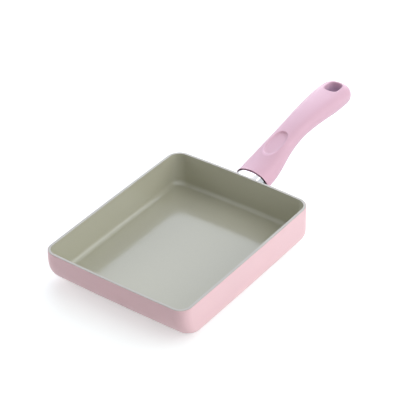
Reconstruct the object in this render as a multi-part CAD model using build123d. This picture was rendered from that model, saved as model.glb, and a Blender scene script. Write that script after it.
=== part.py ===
from build123d import *
import math
import os

# Tamagoyaki pan, in millimetres. +X runs along the handle, +Z is up, and the origin is on the
# underside of the base, below the middle of the tray.

# Pan: height, length and width from corner to corner, and how far each side bows out between
PAN_LENGTH = 180.0
PAN_WIDTH = 139.9
PAN_HEIGHT = 34.5
FRONT_BOW = 0.8
HANDLE_BOW = 1.7
SIDE_BOW = 0.45

# Thickness of the aluminium in the walls and the base, and of the lining
WALL = 2.15
BASE = 2.65
LINING = 0.35

# Feet, in which the upright walls run into the base: radii at the front, the handle and the sides
OUTER_FEET = (26.9, 10.2, 9.0)
INNER_FEET = (23.5, 4.0, 4.5)

# Corners of the outline, seen from above: at the rim, and where the foot meets the base
FRONT_RIM_CORNER = 11.0
FRONT_BASE_CORNER = 9.7
HANDLE_RIM_CORNER = 12.7
HANDLE_BASE_CORNER = 11.9

# Rim: the paint rolls over the outer edge and the lining starts a little inside it
PAINT_EDGE_RADIUS = 0.35
RIM_INSET = 0.4
RIM_EDGE_RADIUS = 0.25
CUT_ABOVE_RIM = 3.0

# Levels at which the tray's outline is drawn: up the side foot in turns of its arc, then up
# the rest of the front foot in shares of its arc
SIDE_FOOT_TURNS = (0, 18, 36, 54, 72, 90)
FRONT_FOOT_SHARES = (0.06, 0.25, 0.5, 0.75, 1.0)

# Handle boss and screw, on one level line out of the wall
SCREW_HEIGHT = 21.2
BOSS_RADIUS = 6.2
BOSS_START_X = 74.0
BOSS_END_X = 114.0
BOSS_CHAMFER = 0.8
SCREW_RADIUS = 2.5
SCREW_TIP_X = 97.0
SCREW_TIP_CHAMFER = 0.6
TAP_DEPTH_SPARE = 2.0
TAP_CLEARANCE = 0.02
HEAD_RADIUS = 4.6
HEAD_HEIGHT = 3.4
HEAD_ROUNDING = 1.4
CROSS_LENGTH = 5.0
CROSS_WIDTH = 1.1
CROSS_DEPTH = 1.8

# Washers under the screw head
WASHER_THICKNESS = 1.0
WASHER_RADIUS = 5.0
WASHER_CLEARANCE = 0.15
SPRING_WASHER_THICKNESS = 1.4
SPRING_WASHER_RADIUS = 4.4
SPRING_WASHER_CLEARANCE = 0.1
SPRING_WASHER_GAP = 1.2

# Web inside the grip that the screw clamps, and the pocket that lets the screw in from below
WEB_END_X = 120.0
WEB_HOLE_CLEARANCE = 0.2
POCKET_RADIUS = 5.8
POCKET_LENGTH = 40.0
POCKET_DEPTH = 20.0

# Sections across the handle are flattened ovals; a squareness of 2 is an ellipse. Each station
# is its place along X, centre height, half width, half height, squareness and backward tilt.
SECTION_POINTS = 20
FERRULE_WALL = 1.2
FERRULE_WALL_END = (86.0, 19.9, 14.0, 10.6, 2.1, 0.0)
FERRULE_MIDDLE = (97.0, 20.7, 14.4, 10.9, 2.1, 8.0)
FERRULE_MOUTH = (105.0, 21.5, 14.6, 11.1, 2.1, 13.0)
FERRULE_INSERT = (110.0, 22.2, 14.3, 10.7, 2.1, 6.0)
FERRULE_TIP = (114.0, 22.7, 13.8, 10.3, 2.1, 0.0)

# Grip: wide over the ferrule, narrow at the waist, wide again in the palm
GRIP_LIP = (105.1, 21.5, 16.05, 12.4, 1.95, 14.0)
GRIP_THROAT = (113.0, 22.95, 15.6, 11.8, 2.1, 14.5)
GRIP_NECK = (122.0, 25.15, 15.15, 11.2, 2.25, 16.0)
GRIP_THUMB_FRONT = (132.0, 28.6, 14.05, 10.25, 2.35, 20.0)
GRIP_THUMB_BACK = (144.0, 33.1, 12.6, 9.0, 2.4, 18.5)
GRIP_WAIST_FRONT = (158.0, 37.15, 11.6, 8.1, 2.45, 13.5)
GRIP_WAIST_BACK = (173.0, 40.1, 11.75, 7.85, 2.45, 8.5)
GRIP_PALM_FRONT = (188.0, 41.65, 12.8, 8.2, 2.45, 4.0)
GRIP_PALM = (204.0, 42.3, 14.15, 8.75, 2.45, 1.0)
GRIP_HEEL = (219.0, 42.3, 15.2, 9.3, 2.45, 0.0)
GRIP_END_START = (235.0, 42.35, 14.95, 9.7, 2.45, 0.0)
GRIP_END_LENGTH = 14.4
GRIP_END_SHARES = (0.35, 0.6, 0.78, 0.9, 0.97, 0.995)
GRIP_END_WIDTH_POWER = 2.3
GRIP_END_HEIGHT_POWER = 2.6

# Socket in the grip for the ferrule, with room round the ferrule at the lip
LIP_THICKNESS = 0.6
SOCKET_START = 3.0
SOCKET_CLEARANCE = 0.4
SOCKET_END_CLEARANCE = 0.2

# Thumb dimple: an oval dish in the top of the grip. Its floor rises less than the grip does, so
# the dish is deepest at its far end.
DIMPLE_CENTRE_X = 140.0
DIMPLE_SURFACE_Z = 41.2
DIMPLE_SLOPE = 11.5
DIMPLE_HALF_LENGTH = 15.1
DIMPLE_HALF_WIDTH = 7.1
DIMPLE_SQUARENESS = 2.4
DIMPLE_DEPTH = 1.7
DIMPLE_ABOVE = 2.0
DIMPLE_SIDE = 3.0
DIMPLE_TURNS = (0, 30, 60, 90)
DIMPLE_EDGE_RADIUS = 0.5

# Hanging hole through the end of the grip, rounded over at both faces
HOLE_CENTRE_X = 233.3
HOLE_LENGTH = 16.7
HOLE_WIDTH = 13.2
HOLE_CORNER = 5.2
HOLE_EDGE_RADIUS = 0.8
HOLE_HALF_DEPTH = 30.0

os.makedirs("parts", exist_ok=True)


def foot_inset(height, radius):
    """How far a foot's arc stands inside its wall at a height above the foot's lowest point."""
    if height >= radius:
        return 0.0
    return radius - math.sqrt(radius**2 - (radius - height) ** 2)


def bowed_outline(front, back, width, front_corner, back_corner):
    """The pan's outline at one level: four sides that bow out a little, and round corners."""
    side = width / 2
    middle = (front + back) / 2
    outline = make_face(
        [
            ThreePointArc((front, -side), (middle, -side - SIDE_BOW), (back, -side)),
            ThreePointArc((back, -side), (back + HANDLE_BOW, 0), (back, side)),
            ThreePointArc((back, side), (middle, side + SIDE_BOW), (front, side)),
            ThreePointArc((front, side), (front - FRONT_BOW, 0), (front, -side)),
        ]
    )
    outline = fillet(outline.vertices().group_by(Axis.X)[-1], back_corner)
    return fillet(outline.vertices().group_by(Axis.X)[0], front_corner)


def tray(inward, lift, feet, top):
    """A solid with the pan's outline moved inward, from a lift above the underside to a top."""
    front_foot, handle_foot, side_foot = feet
    heights = [side_foot * (1 - math.cos(math.radians(turn))) for turn in SIDE_FOOT_TURNS]
    start = math.acos(1 - side_foot / front_foot)
    for share in FRONT_FOOT_SHARES:
        heights.append(front_foot * (1 - math.cos(start + (math.pi / 2 - start) * share)))
    heights.append((heights[-1] + top - lift) / 2)
    heights.append(top - lift)
    sections = []
    for height in heights:
        front = -PAN_LENGTH / 2 + inward + foot_inset(height, front_foot)
        back = PAN_LENGTH / 2 - inward - foot_inset(height, handle_foot)
        width = PAN_WIDTH - 2 * inward - 2 * foot_inset(height, side_foot)
        share = min((height + lift) / PAN_HEIGHT, 1.0)
        front_corner = FRONT_BASE_CORNER + (FRONT_RIM_CORNER - FRONT_BASE_CORNER) * share
        back_corner = HANDLE_BASE_CORNER + (HANDLE_RIM_CORNER - HANDLE_BASE_CORNER) * share
        outline = bowed_outline(front, back, width, front_corner - inward, back_corner - inward)
        sections.append(Pos(0, 0, height + lift) * outline)
    return loft(sections)


def power_curve(angle, squareness):
    """Across and up shares of a flattened oval at an angle."""
    across = math.copysign(abs(math.cos(angle)) ** (2 / squareness), math.cos(angle))
    up = math.copysign(abs(math.sin(angle)) ** (2 / squareness), math.sin(angle))
    return across, up


def section(station, grow=0.0):
    """A flattened oval across the handle, grown by a distance, its top tilted back to the pan."""
    place, height, half_width, half_height, squareness, tilt = station
    lean = math.radians(tilt)
    points = []
    for index in range(SECTION_POINTS):
        across, up = power_curve(2 * math.pi * (index + 0.5) / SECTION_POINTS, squareness)
        lift = up * (half_height + grow)
        y = across * (half_width + grow)
        points.append((place - lift * math.sin(lean), y, height + lift * math.cos(lean)))
    return make_face(Spline(points, periodic=True))


def along_screw(x):
    """A place on the screw's line, with Z turned to run along the line."""
    return Pos(x, 0, SCREW_HEIGHT) * Rot(0, 90, 0)


def rod(radius, start, end):
    """A round bar on the screw's line."""
    return along_screw((start + end) / 2) * Cylinder(radius, end - start)


def round_edges(solid, where):
    """The circular edges of a solid at its low (0) or high (-1) end along X."""
    return solid.edges().filter_by(GeomType.CIRCLE).group_by(Axis.X)[where]


def make_pan():
    """The painted aluminium tray, and the thin lining that covers its inside and its rim."""
    body_top = PAN_HEIGHT - LINING
    cut_top = PAN_HEIGHT + CUT_ABOVE_RIM
    outside = tray(0.0, 0.0, OUTER_FEET, body_top)
    outside = fillet(outside.edges().group_by(Axis.Z)[-1], PAINT_EDGE_RADIUS)
    cavity = tray(WALL, BASE, [foot + LINING for foot in INNER_FEET], cut_top)
    bowl = tray(WALL + LINING, BASE + LINING, INNER_FEET, cut_top)
    strip = extrude(
        bowed_outline(
            -PAN_LENGTH / 2 + RIM_INSET,
            PAN_LENGTH / 2 - RIM_INSET,
            PAN_WIDTH - 2 * RIM_INSET,
            FRONT_RIM_CORNER - RIM_INSET,
            HANDLE_RIM_CORNER - RIM_INSET,
        ),
        LINING,
    )
    strip = fillet(strip.edges().group_by(Axis.Z)[-1], RIM_EDGE_RADIUS)
    above = Pos(0, 0, body_top + PAN_HEIGHT) * Box(PAN_LENGTH * 2, PAN_WIDTH * 2, PAN_HEIGHT * 2)
    skin = cavity - above
    return outside - cavity, skin + Pos(0, 0, body_top) * strip - bowl, outside


def make_boss(outside):
    """The round block welded to the wall, tapped for the screw."""
    boss = rod(BOSS_RADIUS, BOSS_START_X, BOSS_END_X)
    boss = chamfer(round_edges(boss, -1), BOSS_CHAMFER)
    hole = rod(SCREW_RADIUS + TAP_CLEARANCE, SCREW_TIP_X - TAP_DEPTH_SPARE, BOSS_END_X)
    return boss - hole - outside


def make_ferrule(outside):
    """The polished oval sleeve, pinched between the wall and the web inside the grip."""
    stations = [FERRULE_WALL_END, FERRULE_MIDDLE, FERRULE_MOUTH, FERRULE_INSERT, FERRULE_TIP]
    sleeve = loft([section(station) for station in stations])
    return sleeve - loft([section(station, -FERRULE_WALL) for station in stations]) - outside


def grip_body():
    """The grip's outer form, lofted along its S-shaped centre line and closed by a round end."""
    stations = [
        GRIP_LIP,
        GRIP_THROAT,
        GRIP_NECK,
        GRIP_THUMB_FRONT,
        GRIP_THUMB_BACK,
        GRIP_WAIST_FRONT,
        GRIP_WAIST_BACK,
        GRIP_PALM_FRONT,
        GRIP_PALM,
        GRIP_HEEL,
        GRIP_END_START,
    ]
    place, height, half_width, half_height, squareness, tilt = GRIP_END_START
    for share in GRIP_END_SHARES:
        width = half_width * math.sqrt(1 - share**GRIP_END_WIDTH_POWER)
        depth = half_height * math.sqrt(1 - share**GRIP_END_HEIGHT_POWER)
        stations.append((place + GRIP_END_LENGTH * share, height, width, depth, squareness, tilt))
    return loft([section(station) for station in stations])


def grip_socket():
    """The space in the grip's mouth for the ferrule."""
    place, height, *sizes = GRIP_LIP
    mouth = (place - SOCKET_START, height, *sizes)
    return loft(
        [
            section(mouth, -LIP_THICKNESS),
            section(GRIP_LIP, -LIP_THICKNESS),
            section(FERRULE_INSERT, SOCKET_CLEARANCE),
            section(FERRULE_TIP, SOCKET_END_CLEARANCE),
        ]
    )


def thumb_dimple(body):
    """The body with the thumb's dish: a flat oval floor and a side that steepens to its edge."""
    levels = [(DIMPLE_ABOVE, 0.0)]
    for turn in DIMPLE_TURNS:
        angle = math.radians(turn)
        drop = DIMPLE_DEPTH * math.sin(angle)
        levels.append((-drop, DIMPLE_SIDE * (1 - math.cos(angle))))
    faces = []
    for height, inset in levels:
        points = []
        for index in range(SECTION_POINTS):
            angle = 2 * math.pi * (index + 0.5) / SECTION_POINTS
            across, along = power_curve(angle, DIMPLE_SQUARENESS)
            x = along * (DIMPLE_HALF_LENGTH - inset)
            y = across * (DIMPLE_HALF_WIDTH - inset)
            points.append((x, y, height))
        faces.append(make_face(Spline(points, periodic=True)))
    dish = Pos(DIMPLE_CENTRE_X, 0, DIMPLE_SURFACE_Z) * Rot(0, -DIMPLE_SLOPE, 0) * loft(faces)
    dished = body - dish
    rim = new_edges(body, dish, combined=dished).sort_by(Edge.length)[-1]
    return fillet(rim, DIMPLE_EDGE_RADIUS)


def hanging_hole(body):
    """The body with the hole through its end, its edges rounded over above and below."""
    hole = Pos(HOLE_CENTRE_X, 0, GRIP_END_START[1]) * extrude(
        RectangleRounded(HOLE_LENGTH, HOLE_WIDTH, HOLE_CORNER), HOLE_HALF_DEPTH, both=True
    )
    holed = body - hole
    rims = new_edges(body, hole, combined=holed).filter_by(GeomType.LINE, reverse=True)
    return fillet(rims, HOLE_EDGE_RADIUS)


def make_grip():
    """The grip: one moulding with its socket, screw pocket, thumb dimple and hanging hole."""
    web_hole = rod(SCREW_RADIUS + WEB_HOLE_CLEARANCE, FERRULE_MOUTH[0], WEB_END_X + 1)
    pocket_end = WEB_END_X + POCKET_LENGTH
    pocket = rod(POCKET_RADIUS, WEB_END_X, pocket_end)
    pocket += Pos((WEB_END_X + pocket_end) / 2, 0, SCREW_HEIGHT - POCKET_DEPTH / 2) * Box(
        POCKET_LENGTH, 2 * POCKET_RADIUS, POCKET_DEPTH
    )
    return thumb_dimple(hanging_hole(grip_body())) - grip_socket() - web_hole - pocket


def make_flat_washer():
    """The washer against the web."""
    end = WEB_END_X + WASHER_THICKNESS
    ring = rod(WASHER_RADIUS, WEB_END_X, end)
    return ring - rod(SCREW_RADIUS + WASHER_CLEARANCE, WEB_END_X, end)


def make_spring_washer():
    """The split washer under the screw head."""
    start = WEB_END_X + WASHER_THICKNESS
    end = start + SPRING_WASHER_THICKNESS
    ring = rod(SPRING_WASHER_RADIUS, start, end)
    ring -= rod(SCREW_RADIUS + SPRING_WASHER_CLEARANCE, start, end)
    split = Box(SPRING_WASHER_GAP, 2 * SPRING_WASHER_RADIUS, 2 * SPRING_WASHER_THICKNESS)
    return ring - along_screw((start + end) / 2) * Pos(0, SPRING_WASHER_RADIUS, 0) * split


def make_screw():
    """The cross-head screw that holds the grip to the boss."""
    head_x = WEB_END_X + WASHER_THICKNESS + SPRING_WASHER_THICKNESS
    shank = rod(SCREW_RADIUS, SCREW_TIP_X, head_x)
    shank = chamfer(round_edges(shank, 0), SCREW_TIP_CHAMFER)
    head = rod(HEAD_RADIUS, head_x, head_x + HEAD_HEIGHT)
    head = fillet(round_edges(head, -1), HEAD_ROUNDING)
    cross = Box(CROSS_LENGTH, CROSS_WIDTH, CROSS_DEPTH)
    cross += Box(CROSS_WIDTH, CROSS_LENGTH, CROSS_DEPTH)
    return shank + head - along_screw(head_x + HEAD_HEIGHT - CROSS_DEPTH / 2) * cross


pan_body, ceramic_lining, pan_outside = make_pan()
pieces = {
    "pan_body": pan_body,
    "ceramic_lining": ceramic_lining,
    "handle_boss": make_boss(pan_outside),
    "ferrule": make_ferrule(pan_outside),
    "handle_grip": make_grip(),
    "handle_screw": make_screw(),
    "flat_washer": make_flat_washer(),
    "spring_washer": make_spring_washer(),
}
for name, piece in pieces.items():
    export_step(piece, f"parts/{name}.step")
    box = piece.bounding_box()
    print(name, len(piece.solids()), round(piece.volume), box.min, box.max)
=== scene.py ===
import math

import bpy
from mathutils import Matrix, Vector


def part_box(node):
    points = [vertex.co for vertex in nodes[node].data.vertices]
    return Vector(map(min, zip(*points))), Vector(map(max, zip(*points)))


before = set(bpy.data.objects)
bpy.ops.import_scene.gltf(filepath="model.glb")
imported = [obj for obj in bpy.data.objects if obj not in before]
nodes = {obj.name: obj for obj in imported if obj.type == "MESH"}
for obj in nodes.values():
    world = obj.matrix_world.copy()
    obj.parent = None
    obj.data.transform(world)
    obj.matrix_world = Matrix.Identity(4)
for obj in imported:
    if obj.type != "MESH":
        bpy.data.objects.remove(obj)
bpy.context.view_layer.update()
body_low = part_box("pan_body")[0]
lining_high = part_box("ceramic_lining")[1]

# Camera: the photograph's angle and lens, and the point in the middle of its picture
CAMERA_AZIMUTH = math.radians(-54.48)
CAMERA_ELEVATION = math.radians(35.44)
CAMERA_DISTANCE = 1.4176
CAMERA_LENS = 149.8
AIM_POINT = Vector((0.02734, -0.00889, 0.0407))

# Lights, room and floor: strengths where 1 is white
LIGHT_TARGET = Vector((0.03, 0, 0.02))
COOL_WHITE = (0.95, 0.98, 1.15)
ROOM_STRENGTH = 0.11
BACKDROP_STRENGTH = 1.0
FLOOR_SIZE = 12
FLOOR_GAP = 0.0002
FLOOR_COLOR = (0.88, 0.88, 0.88)
FLOOR_SHOWN = (0.79, 0.85, 0.845)
FLOOR_GLOW = 0.44

# Colours; a step leads up or down from a colour to its lighter or darker tone
PAINT_COLOR = (0.842, 0.578, 0.612)
PAINT_STEP = (0.01, 0.005, 0.005)
COAT_COLOR = (0.494, 0.487, 0.388)
COAT_STEP = (0.005, 0.005, 0.005)
COAT_REFLECTION = (0.9, 1.0, 1.08)
COAT_RIM_COLOR = (0.48, 0.465, 0.42)
GRIP_COLOR = (0.725, 0.4595, 0.5645)
GRIP_STEP = (0.01, 0.0075, 0.0075)
GRIP_SHEEN = (0.6, 0.9, 1.0)
# painted shade inside the hanging hole
GRIP_HOLE_SHADE_COLOR = (0.53, 0.38, 0.50)
# painted highlight along the dimple's front edge
GRIP_LIP_HIGHLIGHT_COLOR = (0.82, 0.54, 0.67)
# painted shade on the grip's end face around the ferrule
GRIP_MOUTH_SHADE_COLOR = (0.25, 0.13, 0.17)
FERRULE_COLOR = (0.82, 0.83, 0.86)
# painted dark reflection on the ferrule's flanks
FERRULE_FLANK_REFLECTION_COLOR = (0.195, 0.205, 0.22)
FITTING_COLOR = (0.6, 0.6, 0.6)

# Random patches: the noise values that most of a surface has, and the detail of fine grain
NOISE_RANGE = (0.3, 0.7)
FLECK_RANGE = (0.35, 0.65)
FINE_DETAIL = 2.0

# Worn rim of the lining: the height where the wear starts, and the roughness that it adds
RIM_WORN_FROM = 0.0335
RIM_ROUGHNESS = 0.25

# Ferrule: the distances from its middle line between which a painted dark reflection covers its
# flanks
FERRULE_REFLECTION_BAND = (0.0097, 0.0105)

# Thumb dimple: its centre and half sizes
DIMPLE_CENTER = (0.140, 0)
DIMPLE_HALF = (0.0148, 0.0071)

# Painted highlight on the dimple's front edge: its ring and the ring's fade, in shares of the
# dimple's half sizes, and the places along X between which it ends
LIP_RING = 1.04
LIP_FADE = (0.03, 0.12)
LIP_REACH = (0.129, 0.137)

# Hanging hole: its centre, half sizes and corner radius
HOLE_CENTER = (0.2333, 0)
HOLE_HALF = (0.00835, 0.0066)
HOLE_CORNER = 0.0052

# Painted shade inside the hanging hole: its fade past the outline, the heights between which it
# weakens, and the share that is left at the upper one
HOLE_FADE = (0.0001, 0.0007)
HOLE_HEIGHTS = (0.044, 0.0505)
HOLE_TOP_SHARE = 0.2

# Painted shade on the grip's mouth: the normal's X between faces turned to the pan and all
# others, and the places along X between which the mouth ends
MOUTH_FACING = (-0.75, -0.55)
MOUTH_REACH = (0.112, 0.114)


def principled(name, color, roughness, metallic=0.0):
    """A new material and its Principled shader."""
    material = bpy.data.materials.new(name)
    material.use_nodes = True
    tree = material.node_tree
    shader = tree.nodes["Principled BSDF"]
    shader.inputs["Base Color"].default_value = (*color, 1)
    shader.inputs["Roughness"].default_value = roughness
    shader.inputs["Metallic"].default_value = metallic
    return material, tree, shader


def object_place(tree):
    """The object-space position, which is the row frame's position in metres."""
    return tree.nodes.new("ShaderNodeTexCoord").outputs["Object"]


def coordinate(tree, vector, axis):
    """One coordinate of a position or a direction."""
    split = tree.nodes.new("ShaderNodeSeparateXYZ")
    tree.links.new(vector, split.inputs["Vector"])
    return split.outputs[axis]


def calculate(tree, operation, *values):
    """The result of one Math node; each value is a number or a socket."""
    node = tree.nodes.new("ShaderNodeMath")
    node.operation = operation
    for value, socket in zip(values, node.inputs):
        if isinstance(value, (int, float)):
            socket.default_value = value
        else:
            tree.links.new(value, socket)
    return node.outputs["Value"]


def remap(tree, value, source, target):
    """A value clamped and moved from one range to another."""
    node = tree.nodes.new("ShaderNodeMapRange")
    node.inputs["From Min"].default_value = source[0]
    node.inputs["From Max"].default_value = source[1]
    node.inputs["To Min"].default_value = target[0]
    node.inputs["To Max"].default_value = target[1]
    tree.links.new(value, node.inputs["Value"])
    return node.outputs["Result"]


def noise(tree, place, scale, detail=3.0):
    """A noise value around 0.5."""
    node = tree.nodes.new("ShaderNodeTexNoise")
    node.inputs["Scale"].default_value = scale
    node.inputs["Detail"].default_value = detail
    tree.links.new(place, node.inputs["Vector"])
    return node.outputs["Fac"]


def patches(tree, place, scale, low, high):
    """Soft random patches between two values."""
    return remap(tree, noise(tree, place, scale), NOISE_RANGE, (low, high))


def mix_color(tree, share, first, second):
    """first where share is 0 and second where it is 1; each is a colour or a socket."""
    node = tree.nodes.new("ShaderNodeMix")
    node.data_type = "RGBA"
    # The colour sockets have the same names as the node's other sockets, so they go by number
    for value, socket in ((first, node.inputs[6]), (second, node.inputs[7])):
        if isinstance(value, tuple):
            socket.default_value = (*value, 1)
        else:
            tree.links.new(value, socket)
    tree.links.new(share, node.inputs[0])
    return node.outputs[2]


def two_tones(tree, share, color, step):
    """The darker tone of a colour where share is 0 and the lighter one where it is 1."""
    darker = tuple(part - change for part, change in zip(color, step))
    lighter = tuple(part + change for part, change in zip(color, step))
    return mix_color(tree, share, darker, lighter)


def bump(tree, shader, height, strength, distance):
    """Fine relief on the shader's normal."""
    node = tree.nodes.new("ShaderNodeBump")
    node.inputs["Strength"].default_value = strength
    node.inputs["Distance"].default_value = distance
    tree.links.new(height, node.inputs["Height"])
    tree.links.new(node.outputs["Normal"], shader.inputs["Normal"])


def offsets(tree, place, center):
    """The distances from a centre along X and along Y."""
    found = []
    for axis, middle in zip("XY", center):
        away = calculate(tree, "SUBTRACT", coordinate(tree, place, axis), middle)
        found.append(calculate(tree, "ABSOLUTE", away))
    return found


def length(tree, along, across):
    """The length of a vector in the XY plane."""
    squares = [calculate(tree, "MULTIPLY", part, part) for part in (along, across)]
    return calculate(tree, "SQRT", calculate(tree, "ADD", *squares))


def hole_shade_share(tree, place):
    """Painted shade share: 1 deep in the hanging hole, less near its top, and 0 outside its
    rounded outline.
    """
    parts = []
    for part, half in zip(offsets(tree, place, HOLE_CENTER), HOLE_HALF):
        beyond = calculate(tree, "SUBTRACT", part, half - HOLE_CORNER)
        parts.append(calculate(tree, "MAXIMUM", beyond, 0))
    outward = calculate(tree, "SUBTRACT", length(tree, *parts), HOLE_CORNER)
    inside = remap(tree, outward, HOLE_FADE, (1, 0))
    deep = remap(tree, coordinate(tree, place, "Z"), HOLE_HEIGHTS, (1, HOLE_TOP_SHARE))
    return calculate(tree, "MULTIPLY", inside, deep)


def mouth_shade_share(tree, place):
    """Painted shade share: 1 on the grip's end face around the ferrule and 0 elsewhere."""
    normal = tree.nodes.new("ShaderNodeNewGeometry").outputs["Normal"]
    to_pan = remap(tree, coordinate(tree, normal, "X"), MOUTH_FACING, (1, 0))
    near_pan = remap(tree, coordinate(tree, place, "X"), MOUTH_REACH, (1, 0))
    return calculate(tree, "MULTIPLY", to_pan, near_pan)


def lip_highlight_share(tree, place):
    """Painted highlight share: 1 along the thumb dimple's rounded edge nearest the pan and 0
    away from it.
    """
    parts = []
    for part, half in zip(offsets(tree, place, DIMPLE_CENTER), DIMPLE_HALF):
        parts.append(calculate(tree, "DIVIDE", part, half))
    beside = calculate(tree, "SUBTRACT", length(tree, *parts), LIP_RING)
    ring = remap(tree, calculate(tree, "ABSOLUTE", beside), LIP_FADE, (1, 0))
    near_pan = remap(tree, coordinate(tree, place, "X"), LIP_REACH, (1, 0))
    return calculate(tree, "MULTIPLY", ring, near_pan)


def enamel():
    """Satin pink paint."""
    material, tree, shader = principled("enamel", PAINT_COLOR, roughness=0.38)
    place = object_place(tree)
    cloud = patches(tree, place, scale=25, low=0, high=1)
    tree.links.new(two_tones(tree, cloud, PAINT_COLOR, PAINT_STEP), shader.inputs["Base Color"])
    satin = patches(tree, place, scale=60, low=0.34, high=0.42)
    tree.links.new(satin, shader.inputs["Roughness"])
    orange_peel = noise(tree, place, scale=1400, detail=FINE_DETAIL)
    bump(tree, shader, orange_peel, strength=0.08, distance=0.0004)
    return material


def ceramic():
    """Grey-beige ceramic coat with a soft sheen, worn matte along the rim."""
    material, tree, shader = principled("ceramic", COAT_COLOR, roughness=0.14)
    shader.inputs["IOR"].default_value = 1.54
    shader.inputs["Specular Tint"].default_value = (*COAT_REFLECTION, 1)
    place = object_place(tree)
    flecks = noise(tree, place, scale=900, detail=FINE_DETAIL)
    tint = two_tones(tree, remap(tree, flecks, FLECK_RANGE, (0, 1)), COAT_COLOR, COAT_STEP)
    worn = remap(tree, coordinate(tree, place, "Z"), (RIM_WORN_FROM, lining_high.z), (0, 1))
    tree.links.new(mix_color(tree, worn, tint, COAT_RIM_COLOR), shader.inputs["Base Color"])
    sheen = patches(tree, place, scale=40, low=0.11, high=0.17)
    rubbed = calculate(tree, "MULTIPLY", worn, RIM_ROUGHNESS)
    tree.links.new(calculate(tree, "ADD", sheen, rubbed), shader.inputs["Roughness"])
    pores = noise(tree, place, scale=700, detail=FINE_DETAIL)
    bump(tree, shader, pores, strength=0.06, distance=0.0003)
    return material


def soft_plastic():
    """Matte pink plastic of the grip; painted shade in the hole and mouth, a painted highlight
    at the dimple.
    """
    material, tree, shader = principled("soft_plastic", GRIP_COLOR, roughness=0.5)
    shader.inputs["Sheen Weight"].default_value = 0.18
    shader.inputs["Sheen Tint"].default_value = (*GRIP_SHEEN, 1)
    place = object_place(tree)
    cloud = patches(tree, place, scale=30, low=0, high=1)
    tint = two_tones(tree, cloud, GRIP_COLOR, GRIP_STEP)
    # painted shade inside the hanging hole
    tint = mix_color(tree, hole_shade_share(tree, place), tint, GRIP_HOLE_SHADE_COLOR)
    # painted highlight along the dimple's front edge
    tint = mix_color(tree, lip_highlight_share(tree, place), tint, GRIP_LIP_HIGHLIGHT_COLOR)
    # painted shade on the grip's end face around the ferrule
    tint = mix_color(tree, mouth_shade_share(tree, place), tint, GRIP_MOUTH_SHADE_COLOR)
    tree.links.new(tint, shader.inputs["Base Color"])
    matte = patches(tree, place, scale=90, low=0.46, high=0.55)
    tree.links.new(matte, shader.inputs["Roughness"])
    grain = noise(tree, place, scale=2200, detail=FINE_DETAIL)
    bump(tree, shader, grain, strength=0.1, distance=0.0003)
    return material


def polished():
    """Mirror-polished metal of the ferrule, with a dark reflection painted on its flanks."""
    material, tree, shader = principled("polished", FERRULE_COLOR, roughness=0.08, metallic=1.0)
    place = object_place(tree)
    across = calculate(tree, "ABSOLUTE", coordinate(tree, place, "Y"))
    # painted dark reflection on the ferrule's flanks
    flank_reflection = remap(tree, across, FERRULE_REFLECTION_BAND, (0, 1))
    tint = mix_color(tree, flank_reflection, FERRULE_COLOR, FERRULE_FLANK_REFLECTION_COLOR)
    tree.links.new(tint, shader.inputs["Base Color"])
    haze = patches(tree, place, scale=200, low=0.05, high=0.12)
    tree.links.new(haze, shader.inputs["Roughness"])
    return material


def brushed():
    """Plain brushed metal of the hidden fittings, with its grain along X."""
    material, tree, shader = principled("brushed", FITTING_COLOR, roughness=0.32, metallic=1.0)
    stretch = tree.nodes.new("ShaderNodeMapping")
    stretch.inputs["Scale"].default_value = (20, 900, 900)
    tree.links.new(object_place(tree), stretch.inputs["Vector"])
    grain = noise(tree, stretch.outputs["Vector"], scale=1.0)
    tree.links.new(remap(tree, grain, NOISE_RANGE, (0.25, 0.4)), shader.inputs["Roughness"])
    bump(tree, shader, grain, strength=0.1, distance=0.0002)
    return material


def dress():
    """Gives each piece its material."""
    looks = {
        "pan_body": enamel(),
        "ceramic_lining": ceramic(),
        "ferrule": polished(),
        "handle_grip": soft_plastic(),
    }
    fitting = brushed()
    for name, node in nodes.items():
        node.data.materials.clear()
        node.data.materials.append(looks.get(name, fitting))


def soft_box(name, place, size, radiance, color=(1, 1, 1)):
    """A rectangular area light aimed at the pan; radiance 1 looks white."""
    width, height = size
    light = bpy.data.lights.new(name, "AREA")
    light.shape = "RECTANGLE"
    light.size = width
    light.size_y = height
    light.energy = radiance * math.pi * width * height
    light.color = color
    lamp = bpy.data.objects.new(name, light)
    lamp.location = place
    lamp.rotation_euler = (LIGHT_TARGET - Vector(place)).to_track_quat("-Z", "Y").to_euler()
    bpy.context.scene.collection.objects.link(lamp)


def lighting():
    """Six soft boxes: the back one shows in the base, the right one lights the long side."""
    soft_box("back_box", (0.80, 0.57, 0.70), (1.3, 1.1), 1.53, COOL_WHITE)
    soft_box("low_box", (1.10, 0.45, 0.25), (0.9, 0.4), 3.2)
    soft_box("right_box", (0.40, -0.92, 0.62), (1.35, 1.0), 2.06)
    soft_box("top_box", (0.20, -0.05, 1.20), (0.9, 0.9), 1.16)
    soft_box("left_box", (-0.36, 1.00, 0.42), (0.9, 0.8), 2.22)
    soft_box("front_box", (-0.42, -1.00, 0.32), (0.9, 0.6), 1.4)


def show_apart(tree, lit, shown, surface):
    """One shader for the rays that light the object and another for what is seen directly."""
    path = tree.nodes.new("ShaderNodeLightPath")
    seen = path.outputs["Is Camera Ray"]
    for kind in ("Is Glossy Ray", "Is Transmission Ray"):
        seen = calculate(tree, "MAXIMUM", seen, path.outputs[kind])
    choice = tree.nodes.new("ShaderNodeMixShader")
    tree.links.new(seen, choice.inputs["Fac"])
    tree.links.new(lit, choice.inputs[1])
    tree.links.new(shown, choice.inputs[2])
    tree.links.new(choice.outputs["Shader"], surface)


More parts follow.
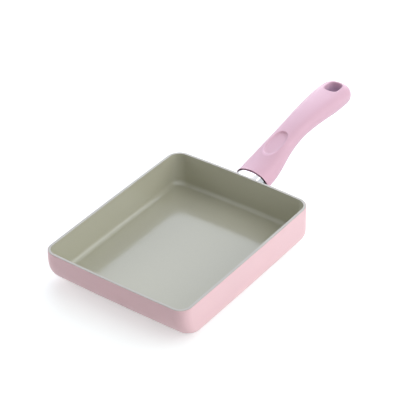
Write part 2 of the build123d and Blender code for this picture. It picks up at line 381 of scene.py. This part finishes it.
def room():
    """A dim even room, which is seen as a white backdrop."""
    world = bpy.data.worlds.new("room")
    bpy.context.scene.world = world
    world.use_nodes = True
    tree = world.node_tree
    ambient = tree.nodes["Background"]
    backdrop = tree.nodes.new("ShaderNodeBackground")
    for node, strength in ((ambient, ROOM_STRENGTH), (backdrop, BACKDROP_STRENGTH)):
        node.inputs["Color"].default_value = (1, 1, 1, 1)
        node.inputs["Strength"].default_value = strength
    surface = tree.nodes["World Output"].inputs["Surface"]
    show_apart(tree, ambient.outputs["Background"], backdrop.outputs["Background"], surface)


def floor():
    """A plain pale floor under the pan, which is seen as white with a soft shadow."""
    bpy.ops.mesh.primitive_plane_add(size=FLOOR_SIZE, location=(0, 0, body_low.z - FLOOR_GAP))
    plane = bpy.context.object
    plane.name = "floor"
    material = bpy.data.materials.new("floor")
    material.use_nodes = True
    tree = material.node_tree
    tree.nodes.remove(tree.nodes["Principled BSDF"])
    lit = tree.nodes.new("ShaderNodeBsdfDiffuse")
    lit.inputs["Color"].default_value = (*FLOOR_COLOR, 1)
    shown = tree.nodes.new("ShaderNodeBsdfDiffuse")
    shown.inputs["Color"].default_value = (*FLOOR_SHOWN, 1)
    glow = tree.nodes.new("ShaderNodeEmission")
    glow.inputs["Strength"].default_value = FLOOR_GLOW
    lifted = tree.nodes.new("ShaderNodeAddShader")
    tree.links.new(shown.outputs["BSDF"], lifted.inputs[0])
    tree.links.new(glow.outputs["Emission"], lifted.inputs[1])
    surface = tree.nodes["Material Output"].inputs["Surface"]
    show_apart(tree, lit.outputs["BSDF"], lifted.outputs["Shader"], surface)
    plane.data.materials.append(material)


def camera():
    """The photograph's camera."""
    back = Vector(
        (
            math.sin(CAMERA_AZIMUTH) * math.cos(CAMERA_ELEVATION),
            -math.cos(CAMERA_AZIMUTH) * math.cos(CAMERA_ELEVATION),
            math.sin(CAMERA_ELEVATION),
        )
    )
    data = bpy.data.cameras.new("camera")
    data.sensor_width = 36
    data.lens = CAMERA_LENS
    data.clip_start = 0.05
    data.clip_end = 50
    eye = bpy.data.objects.new("camera", data)
    eye.location = AIM_POINT + back * CAMERA_DISTANCE
    eye.rotation_euler = (-back).to_track_quat("-Z", "Y").to_euler()
    bpy.context.scene.collection.objects.link(eye)
    bpy.context.scene.camera = eye


dress()
lighting()
room()
floor()
camera()
bpy.context.scene.view_settings.view_transform = "Standard"
